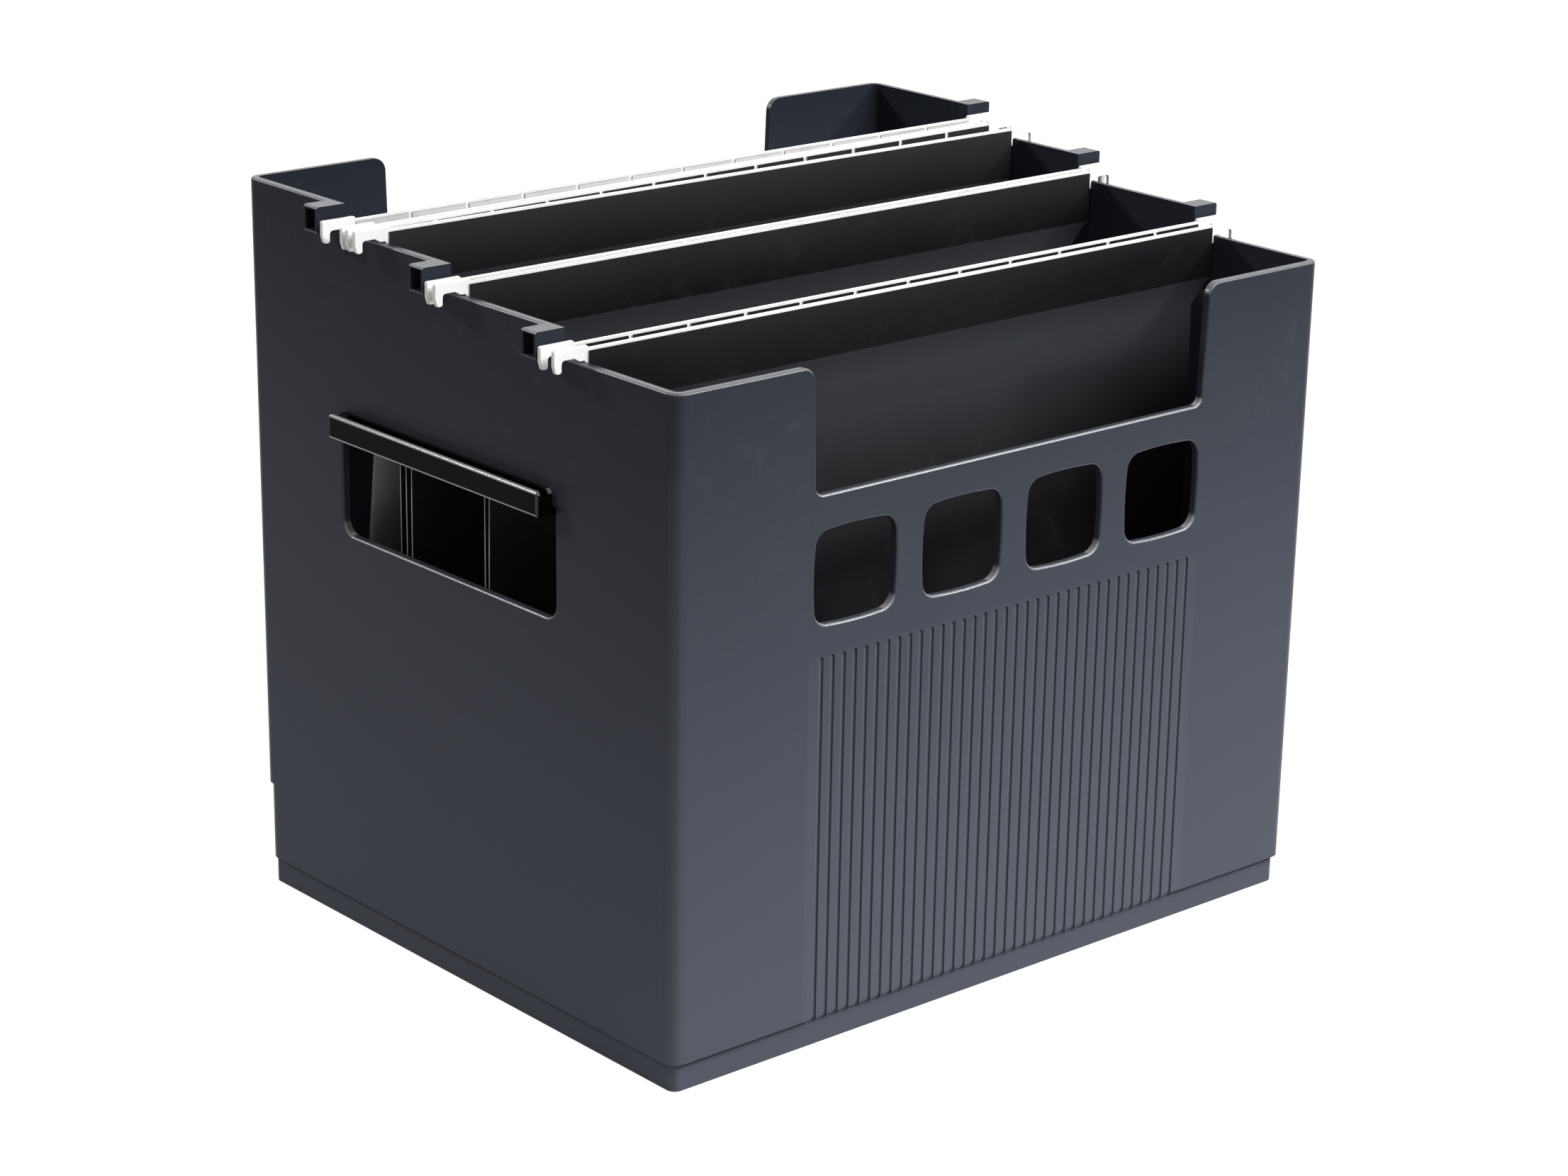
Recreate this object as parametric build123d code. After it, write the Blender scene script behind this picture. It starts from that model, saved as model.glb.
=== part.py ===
from build123d import *
import os

# Portable file box: a one-piece moulded tub whose side walls step up towards
# the back, two clipped-on hand grips, and four hanging folders whose rail
# hooks straddle the stepped rims.
# Frame: +X to the right, the front wall faces -Y, +Z up.  The origin is on
# the floor, in the middle of the tub.  All sizes are in millimetres.

# ---------------------------------------------------------------- tub shell
TUB_WIDTH = 318.0           # outside, at the rim
TUB_DEPTH = 254.0           # outside, at the rim
FRONT_HEIGHT = 254.5        # floor to the lowest rim
WALL = 3.0
FLOOR_THICKNESS = 3.0
SIDE_DRAFT = 1.3            # how far each side wall leans in at the floor
END_DRAFT = 0.3             # how far the front and back walls lean in
CORNER_RADIUS = 5.5         # upright outside corners
RIM_ROUND = 0.9             # rounded outer edge of every rim and opening
PLINTH_HEIGHT = 11.0
PLINTH_INSET = 2.0
BACK_RECESS_HEIGHT = 42.0   # the back wall steps in below this height
BACK_RECESS_DEPTH = 2.0

# ------------------------------------------------------------- rim tiers
TIER_RISE = 9.8             # one step of the rim
TIER_STEPS = 3              # steps between the front rim and the rear rim
REAR_TIER_LENGTH = 60.5     # the highest tier, from the back face
TIER_PITCH = 65.0           # from one step to the next
LUG_REACH = 9.3             # how far a rail stop stands out of the side wall
LUG_LENGTH = 8.2
LUG_SKIN = 1.1              # wall round the hollow of a rail stop

# -------------------------------------------- cut-outs, windows and ribs
NOTCH_HALF_WIDTH = 97.5     # finger cut-outs in the front and back rims
NOTCH_DEPTH = 46.5
NOTCH_TAPER = 1.6           # each side leans in by this much at the bottom
NOTCH_TOP_ROUND = 5.5
NOTCH_BOTTOM_ROUND = 3.5
WINDOW_COUNT = 4
WINDOW_WIDTH = 38.5
WINDOW_HEIGHT = 35.5
WINDOW_BRIDGE = 12.7        # between two windows
WINDOW_BOW = 1.0            # how far each side of a window bulges
WINDOW_ROUND = 6.0
WINDOW_BAR = 12.5           # between the windows and the front cut-out
RIB_BAND_GAP = 11.0         # between the windows and the grooves
GROOVE_COUNT = 36
GROOVE_PITCH = 5.27
GROOVE_WIDTH = 2.0
GROOVE_DEPTH = 0.9

# -------------------------------------------------- hand openings and grips
HAND_LENGTH = 129.0
HAND_HEIGHT = 41.5
HAND_DROP = 54.5            # from the front rim down to the opening
HAND_SHIFT = 3.0            # its middle lies this far behind the tub's
HAND_BOTTOM_ROUND = 6.0
HAND_TOP_ROUND = 1.0
GRIP_END_GAP = 1.5          # from the opening's end to the grip's
GRIP_FIT = 0.15             # round the wall's edge inside the grip
GRIP_REACH = 7.0            # out of the side wall
GRIP_HEIGHT = 9.5
GRIP_WEB = 2.8              # under the wall's edge
GRIP_LIP = 1.5              # inside the wall
GRIP_RIDGE = 1.7            # the two ridges beside the groove
GRIP_GROOVE_DEPTH = 3.0
GRIP_ROUND = 1.4
GRIP_LIP_ROUND = 0.5
GRIP_END_ROUND = 1.0        # upright corners of the grip's ends
GRIP_CROWN_ROUND = 2.0      # top corners of the grip's ends

# ------------------------------------------------------------ rails and hooks
HANG_GAP = 0.2              # between a rim and the hooks that hang on it
RAIL_THICKNESS = 1.3
RAIL_HEIGHT = 9.0
RAIL_RISE = 4.5             # top of a rail above its rim
TONGUE_LENGTH = 6.0         # rail end inside its hook
TONGUE_THICKNESS = 0.6
TONGUE_TOP_DROP = 0.7
TONGUE_FLOOR = 2.2          # hook material under the tongue
TONGUE_FIT = 0.05
HOOK_THICKNESS = 1.6
HOOK_RISE = 5.6             # top of a hook above its rim
HOOK_DROP = 2.8             # legs below the rim
HOOK_INNER_LEG = 1.3
HOOK_SIDE_GAP = 0.4         # inner leg to the tub's wall
HOOK_MOUTH = 10.0           # between the two legs
HOOK_SEAT = 2.2             # flat of the mouth that rests on the rim
HOOK_ARCH_RUN = 4.6         # from the inner leg to the full height of the mouth
HOOK_ARCH_RISE = 1.6        # mouth above the rim, outside the seat
HOOK_OUTER_LEG = 3.4
HOOK_FOOT_TAPER = 0.9       # outer leg, narrower by this much at its foot
HOOK_CORNER = 0.8
HOOK_SEAT_ROUND = 0.4
HOOK_ARCH_ROUND = 1.3
HOOK_INNER_FOOT_ROUND = 0.5
HOOK_OUTER_FOOT_ROUND = 1.0
HOOK_EDGE_ROUND = 0.3       # softened edges of the front and back faces

# ---------------------------------------------------------------- card sheets
FOLDER_FLOOR_GAP = 21.0     # under the front folder
CARD = 0.8
HEM_HEIGHT = 20.0           # doubled card along the rail
HEM_LAYER = 0.5
HEM_FIT = 0.03              # round the rail inside the hem
HEM_TOP_DROP = 0.9          # the rail shows above the hem
SHEET_STEP = 9.3            # below the hem each side edge is set in by this much
CREASE_GAP = 0.3            # front sheet above the bottom fold
TAB_SLOT_COUNT = 11
TAB_SLOT_PITCH = 26.0
TAB_SLOT_WIDTH = 1.8
TAB_SLOT_DEPTH = 7.0

# Folders: name, rim step in front of which it hangs (0 is the rearmost),
# clear space behind its back hooks, clear space between its two rails, and
# how far the back and the front rail are turned in plan, in degrees.
RISER_GAP_FRONT = 1.8
RISER_GAP_SECOND = 2.0
RISER_GAP_REAR = 1.8
NEIGHBOUR_GAP = 2.0         # third folder to the rear folder
OPEN_FRONT = 6.0
OPEN_SECOND = 3.1
OPEN_THIRD = 7.5
OPEN_REAR = 8.7
SKEW_REAR_BACK = 0.4
SKEW_MIDDLE_RAILS = 1.1
SKEW_THIRD_FRONT = -0.5

# ------------------------------------------------------------ worked-out values
REAR_HEIGHT = FRONT_HEIGHT + TIER_STEPS * TIER_RISE
HALF_WIDTH = TUB_WIDTH / 2
HALF_DEPTH = TUB_DEPTH / 2
INNER_HALF_WIDTH = HALF_WIDTH - WALL
NOTCH_FLOOR = FRONT_HEIGHT - NOTCH_DEPTH
WINDOW_TOP = NOTCH_FLOOR - WINDOW_BAR
WINDOW_FLOOR = WINDOW_TOP - WINDOW_HEIGHT
GROOVE_TOP = WINDOW_FLOOR - RIB_BAND_GAP
HAND_TOP = FRONT_HEIGHT - HAND_DROP
HAND_FLOOR = HAND_TOP - HAND_HEIGHT
SHEET_HALF_WIDTH = INNER_HALF_WIDTH - HOOK_SIDE_GAP - HOOK_INNER_LEG
BODY_HALF_WIDTH = SHEET_HALF_WIDTH - SHEET_STEP
FOLDER_HEIGHT = FRONT_HEIGHT + RAIL_RISE - FLOOR_THICKNESS - FOLDER_FLOOR_GAP
HEM_TOP = RAIL_RISE - HEM_TOP_DROP
HEM_FLOOR = HEM_TOP - HEM_HEIGHT
CREASE = RAIL_RISE - FOLDER_HEIGHT
OVERRUN = 20.0              # how far a cutting block runs past what it cuts


def block(x_low, x_high, y_low, y_high, z_low, z_high):
    """An upright box between two corners."""
    centre = ((x_low + x_high) / 2, (y_low + y_high) / 2, (z_low + z_high) / 2)
    return Pos(*centre) * Box(x_high - x_low, y_high - y_low, z_high - z_low)


def step_y(step):
    """Where the rim steps down, counted from the back."""
    return HALF_DEPTH - REAR_TIER_LENGTH - step * TIER_PITCH


def step_floor(step):
    """Rim height in front of a step."""
    return REAR_HEIGHT - (step + 1) * TIER_RISE


def wall_lean(z):
    """How far a side wall has leaned in at height z."""
    return SIDE_DRAFT * (1 - z / REAR_HEIGHT)


def end_lean(z):
    """How far the front or back wall has leaned in at height z."""
    return END_DRAFT * (1 - z / REAR_HEIGHT)


def tub_section(z, inset, back_inset=0.0):
    """Rounded outline of the tub at height z, moved in by inset."""
    half_x = HALF_WIDTH - wall_lean(z) - inset
    half_y = HALF_DEPTH - end_lean(z) - inset
    depth = 2 * half_y - back_inset
    radius = CORNER_RADIUS - min(inset, WALL)
    return Pos(0, -back_inset / 2, z) * RectangleRounded(2 * half_x, depth, radius)


def tub_block(z_low, z_high, inset, back_inset=0.0):
    """Solid between two heights, following the drafted walls."""
    low = tub_section(z_low, inset, back_inset)
    high = tub_section(z_high, inset, back_inset)
    return loft([low, high], ruled=True)


def tub_shell():
    """Walls and floor, before the rims are stepped."""
    plinth = tub_block(0, PLINTH_HEIGHT, PLINTH_INSET)
    lower = tub_block(PLINTH_HEIGHT, BACK_RECESS_HEIGHT, 0, BACK_RECESS_DEPTH)
    upper = tub_block(BACK_RECESS_HEIGHT, REAR_HEIGHT, 0)
    outside = plinth + lower + upper
    plinth_top = PLINTH_HEIGHT + FLOOR_THICKNESS
    recess_top = BACK_RECESS_HEIGHT + FLOOR_THICKNESS
    hollow_plinth = tub_block(FLOOR_THICKNESS, plinth_top, PLINTH_INSET + WALL)
    hollow_lower = tub_block(plinth_top, recess_top, WALL, BACK_RECESS_DEPTH)
    hollow_upper = tub_block(recess_top, REAR_HEIGHT, WALL)
    return outside - hollow_plinth - hollow_lower - hollow_upper


def rim_steps():
    """Blocks that cut the rims down, one for each step."""
    far = HALF_WIDTH + OVERRUN
    front = -HALF_DEPTH - OVERRUN
    top = REAR_HEIGHT + OVERRUN
    return [block(-far, far, front, step_y(step), step_floor(step), top) for step in range(TIER_STEPS)]


def rail_stop(step, side):
    """Hollow stop on the outside of a side wall, flush with the rim behind it."""
    y_low = step_y(step)
    y_high = y_low + LUG_LENGTH
    z_low = step_floor(step)
    z_high = z_low + TIER_RISE
    root = HALF_WIDTH - WALL / 2
    end = HALF_WIDTH + LUG_REACH
    boss = block(root, end, y_low, y_high, z_low, z_high)
    boss = fillet(boss.edges().filter_by(Axis.Y).group_by(Axis.X)[-1], RIM_ROUND)
    pocket_root = HALF_WIDTH + LUG_SKIN
    skin = LUG_SKIN
    pocket = block(pocket_root, end + OVERRUN, y_low + skin, y_high - skin, z_low + skin, z_high - skin)
    boss = boss - pocket
    if side < 0:
        boss = mirror(boss, about=Plane.YZ)
    return boss


def notch_cutter(rim, y):
    """Finger cut-out through the wall at y, with sides that lean in towards its floor."""
    top = NOTCH_HALF_WIDTH
    foot = top - NOTCH_TAPER
    floor = rim - NOTCH_DEPTH
    above = rim + OVERRUN
    spread = top + NOTCH_TAPER * OVERRUN / NOTCH_DEPTH
    face = make_face(Polyline((-foot, floor), (foot, floor), (spread, above), (-spread, above), close=True))
    face = fillet([v for v in face.vertices() if abs(v.Y - floor) < 0.01], NOTCH_BOTTOM_ROUND)
    return Pos(0, y, 0) * extrude(Plane.XZ * face, amount=OVERRUN, both=True)


def notch_corners(tub):
    """The short edges where the cut-outs meet their rims."""
    corners = []
    for edge in tub.edges():
        middle = edge @ 0.5
        at_side = abs(abs(middle.X) - NOTCH_HALF_WIDTH) < 0.1
        at_rim = min(abs(middle.Z - FRONT_HEIGHT), abs(middle.Z - REAR_HEIGHT)) < 0.1
        if at_side and at_rim:
            corners.append(edge)
    return corners


def window_face():
    """A square with bulging sides and round corners, centred on the origin."""
    x = WINDOW_WIDTH / 2 - WINDOW_BOW
    z = WINDOW_HEIGHT / 2 - WINDOW_BOW
    bottom = ThreePointArc((-x, -z), (0, -z - WINDOW_BOW), (x, -z))
    right = ThreePointArc((x, -z), (x + WINDOW_BOW, 0), (x, z))
    top = ThreePointArc((x, z), (0, z + WINDOW_BOW), (-x, z))
    left = ThreePointArc((-x, z), (-x - WINDOW_BOW, 0), (-x, -z))
    face = make_face([bottom, right, top, left])
    return fillet(face.vertices(), WINDOW_ROUND)


def window_cutters():
    """One cutter for each window through the front wall."""
    prism = extrude(Plane.XZ * window_face(), amount=OVERRUN, both=True)
    pitch = WINDOW_WIDTH + WINDOW_BRIDGE
    first = -pitch * (WINDOW_COUNT - 1) / 2
    height = WINDOW_TOP - WINDOW_HEIGHT / 2
    return [Pos(first + pitch * i, -HALF_DEPTH, height) * prism for i in range(WINDOW_COUNT)]


def groove_cutters():
    """Upright grooves in the outside of the front wall."""
    first = -GROOVE_PITCH * (GROOVE_COUNT - 1) / 2
    half = GROOVE_WIDTH / 2
    y_low = -HALF_DEPTH - OVERRUN
    y_high = -HALF_DEPTH + end_lean(GROOVE_TOP) + GROOVE_DEPTH
    cutters = []
    for i in range(GROOVE_COUNT):
        x = first + GROOVE_PITCH * i
        cutters.append(block(x - half, x + half, y_low, y_high, PLINTH_HEIGHT, GROOVE_TOP - half))
        cap = Pos(x, y_high - OVERRUN, GROOVE_TOP - half) * Rot(90, 0, 0) * Cylinder(half, 2 * OVERRUN)
        cutters.append(cap)
    return cutters


def hand_cutter(side):
    """Hand opening through one side wall."""
    middle = HAND_TOP - HAND_HEIGHT / 2
    face = Rectangle(HAND_LENGTH, HAND_HEIGHT)
    face = fillet([v for v in face.vertices() if v.Y < 0], HAND_BOTTOM_ROUND)
    face = fillet([v for v in face.vertices() if v.Y > HAND_HEIGHT / 2 - 0.01], HAND_TOP_ROUND)
    prism = extrude(Plane.YZ * face, amount=OVERRUN, both=True)
    return Pos(side * HALF_WIDTH, HAND_SHIFT, middle) * prism


def on_outside(point):
    """Whether a point lies on the outer faces of the four walls."""
    near = 0.02
    half_x = HALF_WIDTH - wall_lean(point.Z)
    half_y = HALF_DEPTH - end_lean(point.Z)
    if abs(abs(point.X) - half_x) < near or abs(abs(point.Y) - half_y) < near:
        return True
    corner_x = abs(point.X) - (half_x - CORNER_RADIUS)
    corner_y = abs(point.Y) - (half_y - CORNER_RADIUS)
    reach = (corner_x ** 2 + corner_y ** 2) ** 0.5
    return corner_x > 0 and corner_y > 0 and abs(reach - CORNER_RADIUS) < near


def is_rounded(edge):
    """Whether an edge is the outer edge of a rim, a cut-out, a window or a hand opening."""
    middle = edge @ 0.5
    if not on_outside(middle):
        return False
    slack = 0.1
    on_rim = middle.Z > FRONT_HEIGHT - slack
    across_notch = abs(middle.X) < NOTCH_HALF_WIDTH + NOTCH_TOP_ROUND
    in_front_notch = middle.Y < 0 and across_notch and middle.Z > NOTCH_FLOOR - slack
    in_back_notch = middle.Y > 0 and across_notch and middle.Z > REAR_HEIGHT - NOTCH_DEPTH - slack
    across_windows = abs(middle.X) < WINDOW_COUNT * (WINDOW_WIDTH + WINDOW_BRIDGE) / 2
    beside_windows = WINDOW_FLOOR - slack < middle.Z < WINDOW_TOP + slack
    in_window = middle.Y < 0 and across_windows and beside_windows
    along_hand = abs(middle.Y - HAND_SHIFT) < HAND_LENGTH / 2 + slack
    in_hand = along_hand and HAND_FLOOR - slack < middle.Z < HAND_TOP + slack
    return on_rim or in_front_notch or in_back_notch or in_window or in_hand


def build_tub():
    """The moulded tub, with its rail stops."""
    tub = tub_shell()
    for cutter in rim_steps():
        tub = tub - cutter
    tub = tub - notch_cutter(FRONT_HEIGHT, -HALF_DEPTH) - notch_cutter(REAR_HEIGHT, HALF_DEPTH)
    tub = fillet(notch_corners(tub), NOTCH_TOP_ROUND)
    for cutter in window_cutters():
        tub = tub - cutter
    for side in (-1, 1):
        tub = tub - hand_cutter(side)
    tub = fillet([edge for edge in tub.edges() if is_rounded(edge)], RIM_ROUND)
    for step in range(TIER_STEPS):
        for side in (-1, 1):
            tub = tub + rail_stop(step, side)
    return tub - groove_cutters()


def build_grip(side):
    """Channel clipped over the top edge of a hand opening."""
    outside = HALF_WIDTH - wall_lean(HAND_TOP)
    inside = outside - WALL
    far = outside + GRIP_REACH
    near = inside - GRIP_FIT - GRIP_LIP
    floor = HAND_TOP - GRIP_WEB - GRIP_FIT
    top = floor + GRIP_HEIGHT
    section = make_face(Polyline((near, floor), (far, floor), (far, top), (near, top), close=True))
    section = fillet([v for v in section.vertices() if abs(v.X - far) < 0.01], GRIP_ROUND)
    section = fillet([v for v in section.vertices() if abs(v.X - near) < 0.01], GRIP_LIP_ROUND)
    wall_room = Pos((inside + outside) / 2, floor + GRIP_WEB + OVERRUN / 2)
    section = section - wall_room * Rectangle(WALL + 2 * GRIP_FIT, OVERRUN)
    groove_low = outside + GRIP_FIT + GRIP_RIDGE
    groove_high = far - GRIP_RIDGE
    groove_floor = top - GRIP_GROOVE_DEPTH
    groove_room = Pos((groove_low + groove_high) / 2, groove_floor + OVERRUN / 2)
    section = section - groove_room * Rectangle(groove_high - groove_low, OVERRUN)
    length = HAND_LENGTH - 2 * GRIP_END_GAP
    grip = extrude(Plane.XZ * section, amount=length / 2, both=True)
    plan = Pos((near + far) / 2, 0) * RectangleRounded(far - near, length, GRIP_END_ROUND)
    grip = grip & (Pos(0, 0, floor) * extrude(plan, amount=GRIP_HEIGHT))
    profile = Pos(0, (floor + top) / 2) * Rectangle(length, GRIP_HEIGHT)
    profile = fillet([v for v in profile.vertices() if abs(v.Y - top) < 0.01], GRIP_CROWN_ROUND)
    grip = grip & (Pos(near, 0, 0) * extrude(Plane.YZ * profile, amount=far - near))
    grip = Pos(0, HAND_SHIFT, 0) * grip
    if side < 0:
        grip = mirror(grip, about=Plane.YZ)
    return grip


# Folder pieces are made round their own rail: x = 0 in the middle, y = 0 at
# the rail, z = 0 at the rim that carries the hooks.

def build_rail():
    """Flat steel rail with a narrower tongue at each end."""
    half = SHEET_HALF_WIDTH
    t = RAIL_THICKNESS / 2
    rail = block(-half, half, -t, t, RAIL_RISE - RAIL_HEIGHT, RAIL_RISE)
    reach = half + TONGUE_LENGTH
    t = TONGUE_THICKNESS / 2
    rail = rail + block(-reach, reach, -t, t, HANG_GAP + TONGUE_FLOOR, RAIL_RISE - TONGUE_TOP_DROP)
    return rail


def round_corners(face, x_low, x_high, height, radius):
    """Round the corners of an outline at one height, between two places across."""
    near = 0.01
    corners = []
    for corner in face.vertices():
        across = x_low - near < corner.X < x_high + near
        if across and abs(corner.Y - height) < near:
            corners.append(corner)
    return fillet(corners, radius)


def build_hook(side):
    """Moulded hook on a rail end: an inverted U that straddles the rim."""
    inner = SHEET_HALF_WIDTH
    mouth_low = inner + HOOK_INNER_LEG
    mouth_high = mouth_low + HOOK_MOUTH
    outer = mouth_high + HOOK_OUTER_LEG
    seat_end = mouth_low + HOOK_SEAT
    arch_start = mouth_low + HOOK_ARCH_RUN
    foot_end = outer - HOOK_FOOT_TAPER
    outline = Polyline(
        (inner, -HOOK_DROP), (mouth_low, -HOOK_DROP), (mouth_low, HANG_GAP), (seat_end, HANG_GAP),
        (arch_start, HOOK_ARCH_RISE), (mouth_high, HOOK_ARCH_RISE), (mouth_high, -HOOK_DROP),
        (foot_end, -HOOK_DROP), (outer, HANG_GAP), (outer, HOOK_RISE), (inner, HOOK_RISE), close=True,
    )
    face = make_face(outline)
    face = round_corners(face, inner, mouth_low, -HOOK_DROP, HOOK_INNER_FOOT_ROUND)
    face = round_corners(face, mouth_high, foot_end, -HOOK_DROP, HOOK_OUTER_FOOT_ROUND)
    face = round_corners(face, mouth_low, mouth_low, HANG_GAP, HOOK_SEAT_ROUND)
    face = round_corners(face, mouth_high, mouth_high, HOOK_ARCH_RISE, HOOK_ARCH_ROUND)
    face = round_corners(face, inner, outer, HOOK_RISE, HOOK_CORNER)
    hook = extrude(Plane.XZ * face, amount=HOOK_THICKNESS / 2, both=True)
    outlines = [edge for edge in hook.edges() if abs(abs((edge @ 0.5).Y) - HOOK_THICKNESS / 2) < 0.01]
    hook = fillet(outlines, HOOK_EDGE_ROUND)
    t = TONGUE_THICKNESS / 2 + TONGUE_FIT
    z_low = HANG_GAP + TONGUE_FLOOR - TONGUE_FIT
    z_high = RAIL_RISE - TONGUE_TOP_DROP + TONGUE_FIT
    hook = hook - block(inner - OVERRUN, inner + TONGUE_LENGTH + TONGUE_FIT, -t, t, z_low, z_high)
    if side < 0:
        hook = mirror(hook, about=Plane.YZ)
    return hook


def hemmed_sheet(floor, slot_side):
    """Card sheet hanging from its rail, with tab slots on one face of the hem."""
    half = SHEET_HALF_WIDTH
    hem = RAIL_THICKNESS / 2 + HEM_FIT + HEM_LAYER
    body = BODY_HALF_WIDTH
    shoulder = HEM_FLOOR - SHEET_STEP
    right = [(body, floor), (body, shoulder), (half, HEM_FLOOR)]
    left = [(-x, z) for x, z in reversed(right)]
    outline = make_face(Polyline(*right, *left, close=True))
    sheet = extrude(Plane.XZ * outline, amount=CARD / 2, both=True)
    sheet = sheet + block(-half, half, -hem, hem, HEM_FLOOR, HEM_TOP)
    room = RAIL_THICKNESS / 2 + HEM_FIT
    room_floor = RAIL_RISE - RAIL_HEIGHT
    sheet = sheet - block(-half - OVERRUN, half + OVERRUN, -room, room, room_floor, HEM_TOP + OVERRUN)
    first = -TAB_SLOT_PITCH * (TAB_SLOT_COUNT - 1) / 2
    slot_y = sorted((0.0, slot_side * (hem + HEM_LAYER)))
    slots = []
    for i in range(TAB_SLOT_COUNT):
        x = first + TAB_SLOT_PITCH * i
        x_low = x - TAB_SLOT_WIDTH / 2
        x_high = x + TAB_SLOT_WIDTH / 2
        slots.append(block(x_low, x_high, slot_y[0], slot_y[1], HEM_TOP - TAB_SLOT_DEPTH, HEM_TOP + OVERRUN))
    return sheet - slots


def build_back_sheet(spread):
    """Back half of a folder, with the bottom fold that runs forward."""
    half = BODY_HALF_WIDTH
    sheet = hemmed_sheet(CREASE, -1)
    fold = block(-half, half, -spread - CARD / 2, CARD / 2, CREASE, CREASE + CARD)
    return sheet + fold


def build_front_sheet():
    """Front half of a folder, from its rail down to the bottom fold."""
    return hemmed_sheet(CREASE + CARD + CREASE_GAP, 1)


def place_half(piece, y, rim, skew):
    """Turn a piece by the rail's skew and hang it at its place on the rim."""
    return Pos(0, y, rim) * Rot(0, 0, skew) * piece


def folder_plan():
    """Name, step, place of the back rail, distance between rails, and skews."""
    half = HOOK_THICKNESS / 2
    front_back = step_y(2) - RISER_GAP_FRONT - half
    second_back = step_y(1) - RISER_GAP_SECOND - half
    rear_back = step_y(0) - RISER_GAP_REAR - half
    rear_spread = HOOK_THICKNESS + OPEN_REAR
    third_back = rear_back - rear_spread - HOOK_THICKNESS - NEIGHBOUR_GAP
    middle = SKEW_MIDDLE_RAILS
    return [
        ("front_folder", 2, front_back, HOOK_THICKNESS + OPEN_FRONT, 0.0, 0.0),
        ("second_folder", 1, second_back, HOOK_THICKNESS + OPEN_SECOND, 0.0, 0.0),
        ("third_folder", 0, third_back, HOOK_THICKNESS + OPEN_THIRD, middle, SKEW_THIRD_FRONT),
        ("rear_folder", 0, rear_back, rear_spread, SKEW_REAR_BACK, middle),
    ]


def build_folder(name, step, back_y, spread, back_skew, front_skew):
    """All pieces of one hanging folder, by node name."""
    rim = step_floor(step)
    halves = {
        "back": (build_back_sheet(spread), back_y, back_skew),
        "front": (build_front_sheet(), back_y - spread, front_skew),
    }
    pieces = {}
    for half, (sheet, y, skew) in halves.items():
        pieces[f"{name}_{half}_sheet"] = place_half(sheet, y, rim, skew)
        pieces[f"{name}_{half}_rail"] = place_half(build_rail(), y, rim, skew)
        pieces[f"{name}_{half}_left_hook"] = place_half(build_hook(-1), y, rim, skew)
        pieces[f"{name}_{half}_right_hook"] = place_half(build_hook(1), y, rim, skew)
    return pieces


def main():
    """Build every piece and write one STEP file for each node."""
    os.makedirs("parts", exist_ok=True)
    pieces = {"tub": build_tub(), "left_grip": build_grip(-1), "right_grip": build_grip(1)}
    for folder in folder_plan():
        pieces.update(build_folder(*folder))
    for node, piece in pieces.items():
        export_step(piece, f"parts/{node}.step")


main()
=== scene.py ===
"""Looks of a portable file box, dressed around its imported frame.

The tub, grips, rails and hooks keep their own shapes and get finishes.  Each
half of a hanging folder is modelled here as folded card: a bowed sheet, a hem
round the rail, and the tab slots in the hem.  Lengths are in metres.
"""

import logging
import math
from collections.abc import Callable, Sequence
from dataclasses import dataclass, field
from enum import Enum

import bmesh
import bpy
from mathutils import Matrix, Vector


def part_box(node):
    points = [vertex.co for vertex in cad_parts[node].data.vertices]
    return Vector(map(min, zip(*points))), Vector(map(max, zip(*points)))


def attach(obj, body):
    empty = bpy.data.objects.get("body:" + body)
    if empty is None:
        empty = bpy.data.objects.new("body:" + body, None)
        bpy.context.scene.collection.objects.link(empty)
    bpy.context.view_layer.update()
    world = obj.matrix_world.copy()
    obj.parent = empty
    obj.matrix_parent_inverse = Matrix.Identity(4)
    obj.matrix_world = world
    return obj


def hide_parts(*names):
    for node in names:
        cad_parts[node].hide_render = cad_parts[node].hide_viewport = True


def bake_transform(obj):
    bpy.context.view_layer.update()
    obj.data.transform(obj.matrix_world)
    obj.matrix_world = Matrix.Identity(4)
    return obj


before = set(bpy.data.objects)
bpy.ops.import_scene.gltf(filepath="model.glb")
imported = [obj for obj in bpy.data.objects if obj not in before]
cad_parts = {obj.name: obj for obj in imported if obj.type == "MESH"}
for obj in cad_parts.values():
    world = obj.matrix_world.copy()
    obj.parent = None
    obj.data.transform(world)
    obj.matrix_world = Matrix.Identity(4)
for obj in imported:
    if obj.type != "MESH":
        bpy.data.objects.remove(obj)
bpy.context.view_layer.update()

Colour = tuple[float, float, float]
Point = tuple[float, float]
Socket = bpy.types.NodeSocket
Tree = bpy.types.NodeTree

FLOAT, VECTOR, COLOUR = "NodeSocketFloat", "NodeSocketVector", "NodeSocketColor"
ORIGIN = (0.0, 0.0, 0.0)
TINY = 1e-6  # places of a mesh that are closer than this are the same
SMOOTH_ANGLE = math.radians(32)  # edges sharper than this stay sharp

log = logging.getLogger("file_box")


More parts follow.
